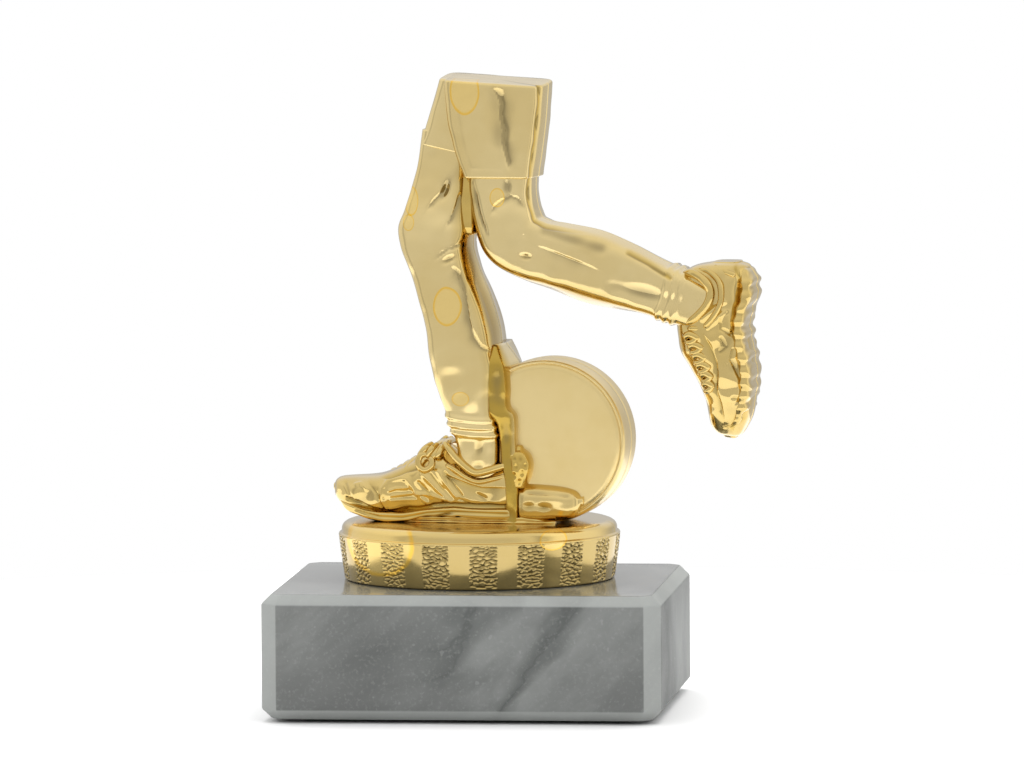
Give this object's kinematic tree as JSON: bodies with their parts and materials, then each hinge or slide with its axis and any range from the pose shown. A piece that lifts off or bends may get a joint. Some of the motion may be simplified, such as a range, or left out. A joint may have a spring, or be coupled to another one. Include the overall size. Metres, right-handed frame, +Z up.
{
  "type": "figure trophy",
  "caption": "Award with a plated pair of running legs before a plain disc, on a round panelled plinth screwed to a chamfered marble block.",
  "frame": {"origin": "on the resting plane, under the middle of the block", "axes": "+Z up, +X to the viewer's right along the block's long side, -Y towards the viewer"},
  "size_m": [0.078, 0.055, 0.1011],
  "materials": {
    "marble": "polished grey marble with soft pale veins",
    "felt": "green self-adhesive felt",
    "plated_plastic": "vacuum-metallised pale gold under clear lacquer",
    "nut_brass": "plain",
    "steel": "zinc plated"
  },
  "bodies": {
    "root": {"marble_block": "marble", "felt_base": "felt", "plinth": "plated_plastic", "captive_nut": "nut_brass", "clamp_screw": "steel", "flat_washer": "steel", "lock_washer": "steel", "figure_front_shell": "plated_plastic", "figure_rear_shell": "plated_plastic"}
  },
  "joints": []
}
